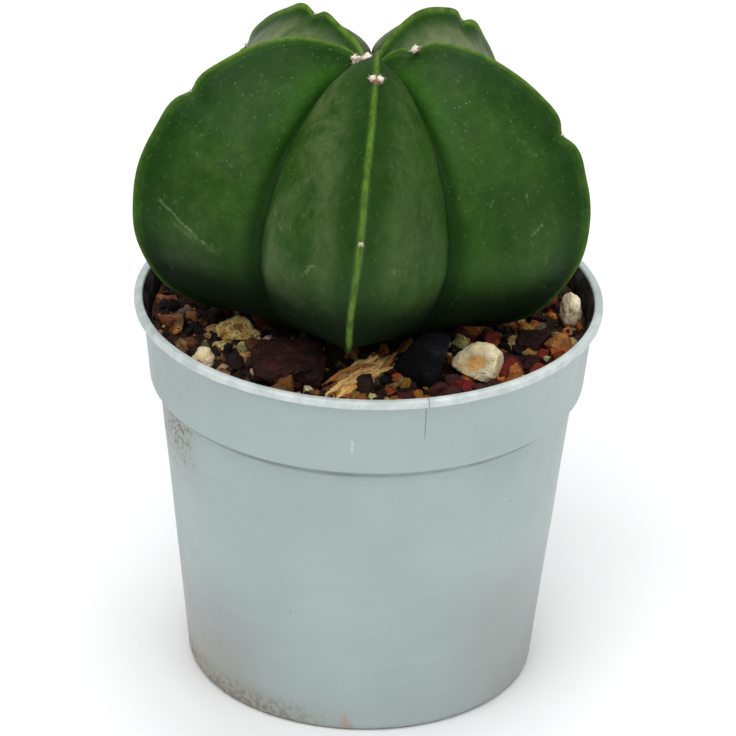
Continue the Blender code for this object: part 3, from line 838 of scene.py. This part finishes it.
def addLump(verts, faces, marks, centre, axes, radii, lumpiness, seed, mark):
    bm = bmesh.new()
    bmesh.ops.create_icosphere(bm, subdivisions=3, radius=1.0)
    start = len(verts)
    for vert in bm.verts:
        grow = 1 + lumpiness * noise.noise(vert.co * 2.2 + Vector((seed * 1.7, 0, 0)))
        local = Vector([vert.co[i] * radii[i] * grow for i in range(3)])
        verts.append(centre + axes @ local)
        marks.append(mark)
    bm.verts.index_update()
    for face in bm.faces:
        faces.append(tuple(start + vert.index for vert in face.verts))
    bm.free()


def addHair(verts, faces, marks, root, direction, bend, length, radius):
    start = len(verts)
    side = direction.orthogonal().normalized()
    other = direction.cross(side)
    for i in range(5):
        share = i / 4
        centre = root + direction * (length * share) + bend * (length * share * share)
        thick = radius * (1 - 0.75 * share)
        for angle in ringAngles(3):
            verts.append(centre + (side * math.cos(angle) + other * math.sin(angle)) * thick)
            marks.append(0.75 * (1 - share)**3)
    faces += ringFaces(5, 3, start, True)
    faces.append((start + 2, start + 1, start))
    faces.append((start + 12, start + 13, start + 14))


def woolPiece(name, place, outward, along, size, hairs, node, finish, seed):
    # two fluffy lobes either side of a dark centre, drawn together on a small tuft
    draw = random.Random(seed)
    across = outward.cross(along).normalized()
    axes = Matrix((across, along, outward)).transposed()
    verts = []
    faces = []
    marks = []
    pad = wool["padRadius"] * size * mm
    tall = wool["padHeight"] * size * mm
    apart = min(0.85, 1.4 * size - 0.3)
    addLump(verts, faces, marks, place - outward * tall * 0.3 + along * pad * 0.35, axes,
            (pad * 1.2, pad * 1.1, tall), 0.5, seed, 1.0)
    fluff = (pad * 0.72, pad * 0.78, tall * 1.3)
    for lobe in (-1, 1):
        centre = place + across * (lobe * pad * apart) + outward * tall * 0.35 - along * pad * 0.2
        addLump(verts, faces, marks, centre, axes, fluff, 0.7, seed + lobe, 0.15)
    for _ in range(hairs):
        lobe = draw.choice((-1, 1))
        spread = across * draw.gauss(lobe * apart * 0.9, 0.40) + along * draw.gauss(-0.15, 0.5)
        root = place + spread * pad
        direction = (outward + spread * 0.55 + across * draw.gauss(0, 0.25)).normalized()
        bend = Vector((draw.gauss(0, 0.5), draw.gauss(0, 0.5), draw.gauss(-0.2, 0.4)))
        length = wool["hairLength"] * (0.45 + 0.55 * size) * draw.uniform(0.5, 1.0) * mm
        addHair(verts, faces, marks, root, direction, bend, length, wool["hairRadius"] * mm)
    meshPiece(name, verts, faces, finish, [node], {"depth": marks})


def makeWool():
    finish = woolFibre()
    place = stemMatrix()
    turnOnly = place.to_3x3().normalized()
    seed = 30
    steps = 200
    for rib in ribs:
        line, outward, push, sideways = crestLine(rib, steps + 1)
        for number, (where, size, _) in enumerate(rib["areoles"], 1):
            seed += 5
            i = round(where * steps)
            spot = place @ Vector(line[i] + outward[i] * (push[i] + stem["beadHeight"] * 0.7) + sideways[i])
            out = (turnOnly @ Vector(outward[i])).normalized()
            along = (turnOnly @ Vector(line[i + 1] - line[i - 1])).normalized()
            name = f"wool{rib['name'].title().replace('_', '')}{number}"
            hairs = round(wool["hairs"] * (0.4 + 0.6 * size))
            woolPiece(name, spot, out, along, size, hairs, f"wool_tuft_{rib['name']}_{number}", finish, seed)
    crown = place @ Vector((-1.1, -0.9, stem["crest"][0][1] + 0.55))
    upward = turnOnly @ Vector((0, -0.25, 1)).normalized()
    forward = turnOnly @ Vector((0.3, -1, 0))
    woolPiece("woolCrown", crown, upward, forward, wool["crownSize"], wool["crownHairs"], "wool_crown",
              finish, 9)


makeWool()
print("wool made")


def stoneFinish(name, look):
    stone = Finish(name)
    large = stone.noise(look["patch"], 4, 0.6)
    fine = stone.noise(look["patch"] * 0.22, 4, 0.7)
    stone.colour = stone.ramp(large, [(0.30, look["dark"]), (0.50, look["mid"]), (0.68, look["pale"])])
    stone.lay(stone.fade(fine, 0.56, 0.72, 0, look["fleck"]), look["fleckColour"])
    pits = stone.fade(stone.cells(look["pit"]), 0.10, 0.42)
    # painted shade: the pits are darkened
    stone.lay((1 - pits) * look["pitShade"], tuple(c * 0.25 for c in look["dark"]))
    # a worn hollow is stained
    hollow = stone.attribute("hollow")
    stain = stone.fade(hollow + (fine - 0.5) * 0.5, 0.10, 0.95)
    stone.lay(stain * 0.85, stone.mix(stone.fade(hollow, 0.75, 0.98), *look["stain"]))
    stone.surface(specular=look["specular"],
                  roughness=stone.fade(fine, 0.3, 0.7, look["rough"], 0.97),
                  normal=stone.bump(pits + fine * 0.6, look["pitDepth"]))
    return stone


stoneLooks = {
    # pale, mid and dark colours with their flecks; the size, shade and depth of the pits in millimetres
    "lava": {"patch": 2.2, "dark": (0.007, 0.003, 0.002), "mid": (0.020, 0.005, 0.004),
             "pale": (0.044, 0.010, 0.007), "fleck": 0.30, "fleckColour": (0.10, 0.026, 0.014),
             "pit": 0.55, "pitShade": 0.55, "pitDepth": 0.20, "rough": 0.72, "specular": 0.22,
             "stain": [(0.02, 0.01, 0.01), (0.01, 0.01, 0.01)]},
    "pumice": {"patch": 2.6, "dark": (0.72, 0.53, 0.25), "mid": (0.90, 0.76, 0.46),
               "pale": (0.97, 0.91, 0.72), "fleck": 0.25, "fleckColour": (0.62, 0.42, 0.16),
               "pit": 0.34, "pitShade": 0.07, "pitDepth": 0.07, "rough": 0.80, "specular": 0.3,
               "stain": [(0.46, 0.38, 0.20), (0.58, 0.27, 0.05)]},
    "ochre": {"patch": 1.6, "dark": (0.38, 0.20, 0.05), "mid": (0.86, 0.62, 0.22),
              "pale": (0.96, 0.86, 0.52), "fleck": 0.30, "fleckColour": (0.50, 0.24, 0.06),
              "pit": 0.48, "pitShade": 0.22, "pitDepth": 0.18, "rough": 0.80, "specular": 0.3,
              "stain": [(0.45, 0.25, 0.06), (0.25, 0.10, 0.03)]},
    "charcoal": {"patch": 1.8, "dark": (0.002, 0.002, 0.003), "mid": (0.004, 0.004, 0.005),
                 "pale": (0.008, 0.008, 0.010), "fleck": 0.15, "fleckColour": (0.030, 0.030, 0.036),
                 "pit": 0.70, "pitShade": 0.30, "pitDepth": 0.06, "rough": 0.55, "specular": 0.22,
                 "stain": [(0.01, 0.01, 0.01), (0.01, 0.01, 0.01)]},
    "grit": {"patch": 1.3, "dark": (0.070, 0.026, 0.010), "mid": (0.210, 0.098, 0.036),
             "pale": (0.400, 0.250, 0.110), "fleck": 0.45, "fleckColour": (0.55, 0.38, 0.18),
             "pit": 0.40, "pitShade": 0.50, "pitDepth": 0.20, "rough": 0.78, "specular": 0.25,
             "stain": [(0.20, 0.10, 0.04), (0.10, 0.05, 0.02)]},
}
stoneShapes = {
    # cuts: flat faces; lumps and fine: depth of the broad and small swellings; blocky: 0 round, 1 square
    "lava": {"cuts": 4, "lumps": 0.22, "fine": 0.050, "detail": 4, "blocky": 0.55},
    "pumice": {"cuts": 3, "lumps": 0.20, "fine": 0.016, "detail": 4, "blocky": 0.0},
    "ochre": {"cuts": 4, "lumps": 0.34, "fine": 0.060, "detail": 4, "blocky": 0.1},
    "charcoal": {"cuts": 5, "lumps": 0.07, "fine": 0.010, "detail": 4, "blocky": 0.75},
    "grit": {"cuts": 4, "lumps": 0.32, "fine": 0.060, "detail": 3, "blocky": 0.2},
}
# a worn hollow in a stone's side: which way it faces, how wide and deep it is
hollows = {
    "pumice_pebble_front": (Vector((-0.25, -0.80, 0.55)), 0.75, 0.22),
    "ochre_stone_left": (Vector((0.10, -0.60, 0.80)), 0.42, 0.16),
    "pumice_pebble_right": (Vector((-0.10, -0.85, 0.35)), 0.20, 0.08),
}
stoneNodes = [node for node in sorted(frame["nodes"]) if node.split("_")[0] in
              ("lava", "pumice", "ochre", "cream", "charcoal", "grit")]
slotOf = {row["node"]: row["material_slot"] for row in frame["record"]["subparts"]}
finishes = {slot: stoneFinish(f"{slot}Stone", look) for slot, look in stoneLooks.items()}


def stoneVerts(shape, seed, subdivisions, hollow=None):
    draw = random.Random(seed)
    offset = Vector((seed * 2.3, 4.0, 1.0))
    bm = bmesh.new()
    bmesh.ops.create_icosphere(bm, subdivisions=subdivisions, radius=1.0)
    planes = []
    for _ in range(shape["cuts"]):
        normal = Vector((draw.gauss(0, 1), draw.gauss(0, 1), draw.gauss(0, 0.8))).normalized()
        planes.append((normal, draw.uniform(0.62, 0.86)))
    for vert in bm.verts:
        square = 1 / max(abs(part) for part in vert.co)
        vert.co *= (1 + shape["lumps"] * noise.fractal(vert.co * 1.25 + offset, 0.9, 2.0, 3))
        vert.co *= square**shape["blocky"]
        for normal, reach in planes:
            beyond = vert.co.dot(normal) - reach
            if beyond > 0:
                vert.co -= normal * beyond * 0.92
        vert.co *= 1 + shape["fine"] * noise.fractal(vert.co * 6.0 + offset, 0.7, 2.2, 4)
    worn = []
    for vert in bm.verts:
        share = 0.0
        if hollow:
            facing, width, depth = hollow
            off = (vert.co.normalized() - facing.normalized()).length + 0.12 * noise.noise(vert.co * 3.0)
            share = math.exp(-(off / width)**4)
            vert.co *= 1 - depth * share
        worn.append(share)
    return bm, worn


def pieceName(node):
    first, *rest = node.split("_")
    return first + "".join(word.title() for word in rest) + "Piece"


def fitTo(bm, low, high):
    # brings a shape to a CAD box
    for axis in range(3):
        least = min(vert.co[axis] for vert in bm.verts)
        most = max(vert.co[axis] for vert in bm.verts)
        scale = (high[axis] - low[axis]) / (most - least)
        for vert in bm.verts:
            vert.co[axis] = low[axis] + (vert.co[axis] - least) * scale


def makeStones():
    sink = Vector((0, 0, 0.5 * mm))  # stones sit a little way into the bed
    for i, node in enumerate(stoneNodes):
        slotName = slotOf[node]
        shape = stoneShapes[slotName]
        low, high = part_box(node)
        detail = shape["detail"] + (0 if node.startswith("grit") else 1)
        bm, worn = stoneVerts(shape, 11 + i * 3, detail, hollows.get(node))
        fitTo(bm, low - sink, high)
        mesh = bpy.data.meshes.new(node)
        bm.to_mesh(mesh)
        bm.free()
        finishPiece(pieceName(node), mesh, finishes[slotName], [node], {"hollow": worn}, 60)


makeStones()
print("stones made")


bark = {
    "fibres": 95, "rise": 0.10, "turns": {"bark_chip_front": 52, "bark_chip_back": -38},
    "straw": (0.95, 0.70, 0.29), "orange": (0.72, 0.30, 0.05), "dark": (0.20, 0.075, 0.028),
}


def barkFinish():
    wood = Finish("barkFibre")
    tone = wood.attribute("tone")
    streak = wood.noise(0.5, 4, 0.7)
    wood.colour = wood.ramp(tone, [(0.10, bark["dark"]), (0.34, bark["orange"]), (0.62, bark["straw"])])
    wood.lay(wood.fade(streak, 0.4, 0.7, 0, 0.6), bark["orange"])
    wood.surface(roughness=0.86, specular=0.3, normal=wood.bump(streak, 0.2))
    return wood


def splinter(verts, faces, marks, centre, direction, length, width, thick, draw):
    # a flat torn fibre with ragged ends
    start = len(verts)
    side = direction.cross(Vector((0, 0, 1))).normalized()
    lift = side.cross(direction).normalized()
    steps = 7
    tone = draw.random()
    bow = draw.gauss(0, 0.06)
    seed = draw.random() * 50
    for i in range(steps):
        share = i / (steps - 1) - 0.5
        narrow = 1 - (abs(share) * 2)**3 * 0.75
        wobble = noise.noise(Vector((seed, share * 5, 0)))
        middle = centre + direction * (length * share) + lift * (bow * length * (1 - 4 * share * share))
        middle += side * (wobble * width * 0.8)
        for a, b in ((-1, -1), (1, -1), (1, 1), (-1, 1)):
            verts.append(middle + side * (a * width * narrow / 2) + lift * (b * thick * narrow / 2))
            # painted light and shade: each fibre's upper face is a little lighter, its under face darker
            marks.append(min(1.0, max(0.0, tone + 0.25 * wobble + 0.12 * b)))
    faces += ringFaces(steps, 4, start, True)
    faces.append((start + 3, start + 2, start + 1, start))
    last = start + 4 * (steps - 1)
    faces.append((last, last + 1, last + 2, last + 3))


def makeBark():
    finish = barkFinish()
    for node, turn in bark["turns"].items():
        low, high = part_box(node)
        draw = random.Random(node)
        middle = (low + high) / 2
        direction = Vector((math.cos(math.radians(turn)), math.sin(math.radians(turn)), 0))
        side = Vector((-direction.y, direction.x, 0))
        length = (high.x - low.x) / abs(direction.x) * 0.86
        verts = []
        faces = []
        marks = []
        for _ in range(bark["fibres"]):
            across = draw.gauss(0, 0.21)
            rise = draw.uniform(-0.5, 0.5)
            along = draw.gauss(0, 0.16)
            spread = (1.2 - abs(across)) * draw.uniform(0.35, 0.95)
            centre = middle + side * (across * 2.6 * mm) + direction * (along * length)
            centre.z = low.z + (rise * 0.7 + 0.5) * (high.z - low.z) + bark["rise"] * along * length
            lean = Vector((0, 0, draw.gauss(bark["rise"], 0.10))) + side * draw.gauss(0, 0.13)
            splinter(verts, faces, marks, centre, (direction + lean).normalized(), length * spread * 0.85,
                     draw.uniform(0.22, 0.7) * mm, draw.uniform(0.2, 0.5) * mm, draw)
        meshPiece(pieceName(node), verts, faces, finish, [node], {"tone": marks}, 50)


makeBark()
print("bark made")


crumbs = {
    "inner": 7.0, "crooked": 0.55, "chips": 4, "bare": (5.6, -10.9), "bareRadius": 3.4,
    "dust": (0.014, 0.009, 0.007), "worn": (0.45, 0.34, 0.22),
    "families": [
        # name, slot, how many, smallest and largest in millimetres, colours on the left, colours on the right
        ("crumbsPeat", "mix", 1500, (0.4, 1.8),
         [(0.004, 0.003, 0.002), (0.009, 0.005, 0.004), (0.018, 0.009, 0.005)],
         [(0.004, 0.003, 0.002), (0.014, 0.007, 0.004), (0.028, 0.010, 0.006)]),
        ("crumbsLava", "lava", 430, (0.9, 3.3),
         [(0.016, 0.006, 0.005), (0.230, 0.070, 0.018), (0.036, 0.011, 0.008), (0.330, 0.140, 0.036)],
         [(0.400, 0.105, 0.018), (0.250, 0.018, 0.010), (0.520, 0.185, 0.035), (0.060, 0.010, 0.008)]),
        ("crumbsPale", "grit", 600, (0.4, 2.2),
         [(0.60, 0.41, 0.17), (0.34, 0.19, 0.07), (0.80, 0.64, 0.34), (0.17, 0.15, 0.08),
          (0.62, 0.26, 0.06)],
         [(0.62, 0.40, 0.15), (0.46, 0.19, 0.05), (0.82, 0.62, 0.32), (0.16, 0.15, 0.08),
          (0.70, 0.28, 0.04)]),
    ],
}


def crumbFinish(name):
    grain = Finish(name)
    grain.colour = grain.attribute("tint", "Color")
    fine = grain.noise(0.4, 4, 0.7)
    grain.lay(grain.fade(fine, 0.35, 0.65, 0.55, 0.0), crumbs["dust"])
    grain.lay(grain.fade(fine, 0.60, 0.78, 0, 0.35), crumbs["worn"])
    grain.surface(roughness=0.85, specular=0.3, normal=grain.bump(fine, 0.22))
    return grain


def chipPlanes(draw):
    # flat faces that trim a crumb
    planes = []
    for _ in range(crumbs["chips"]):
        normal = Vector((draw.gauss(0, 1), draw.gauss(0, 1), draw.gauss(0, 1))).normalized()
        planes.append((normal, draw.uniform(0.45, 0.85)))
    return planes


def makeCrumbs():
    draw = random.Random(4)
    bareX, bareY = crumbs["bare"]
    bm = bmesh.new()
    bmesh.ops.create_icosphere(bm, subdivisions=2, radius=1.0)
    ball = [vert.co.copy() for vert in bm.verts]
    bm.verts.index_update()
    ballFaces = [tuple(vert.index for vert in face.verts) for face in bm.faces]
    bm.free()
    for name, slotName, howMany, (smallest, largest), leftTints, rightTints in crumbs["families"]:
        verts = []
        faces = []
        colours = []
        for _ in range(howMany):
            distance = math.sqrt(draw.uniform((crumbs["inner"] * mm)**2, (bed["radius"] - 0.7 * mm)**2))
            angle = draw.uniform(0, 2 * math.pi)
            x = distance * math.cos(angle)
            y = distance * math.sin(angle)
            if slotName != "mix" and math.hypot(x / mm - bareX, y / mm - bareY) < crumbs["bareRadius"]:
                continue
            size = smallest + (largest - smallest) * draw.random()**2.0
            radii = [size * mm / 2 * draw.uniform(0.6, 1.25) for _ in range(3)]
            turn = Euler((draw.uniform(0, 3), draw.uniform(0, 3), draw.uniform(0, 3))).to_matrix()
            centre = Vector((x, y, bedTop(x, y) + size * mm * draw.uniform(-0.05, 0.30)))
            offset = Vector((draw.uniform(0, 90), 0, 0))
            onRight = x / mm + draw.gauss(0, 5) > 0
            tint = [c * draw.uniform(0.75, 1.2) for c in draw.choice(rightTints if onRight else leftTints)]
            start = len(verts)
            planes = chipPlanes(draw)
            for spot in ball:
                local = spot * (1 + crumbs["crooked"] * noise.noise(spot * 1.9 + offset))
                for normal, reach in planes:
                    local = local - normal * max(0.0, local.dot(normal) - reach)
                verts.append(centre + turn @ Vector([local[i] * radii[i] for i in range(3)]))
                colours += [*tint, 1.0]
            faces += [tuple(start + i for i in face) for face in ballFaces]
        mesh = bpy.data.meshes.new(name)
        mesh.from_pydata(verts, [], faces)
        layer = mesh.attributes.new("tint", "FLOAT_COLOR", "POINT")
        layer.data.foreach_set("color", np.asarray(colours, np.float32))
        finishPiece(name, mesh, crumbFinish(name + "Grain"), (), None, 45)


makeCrumbs()
print("crumbs made")
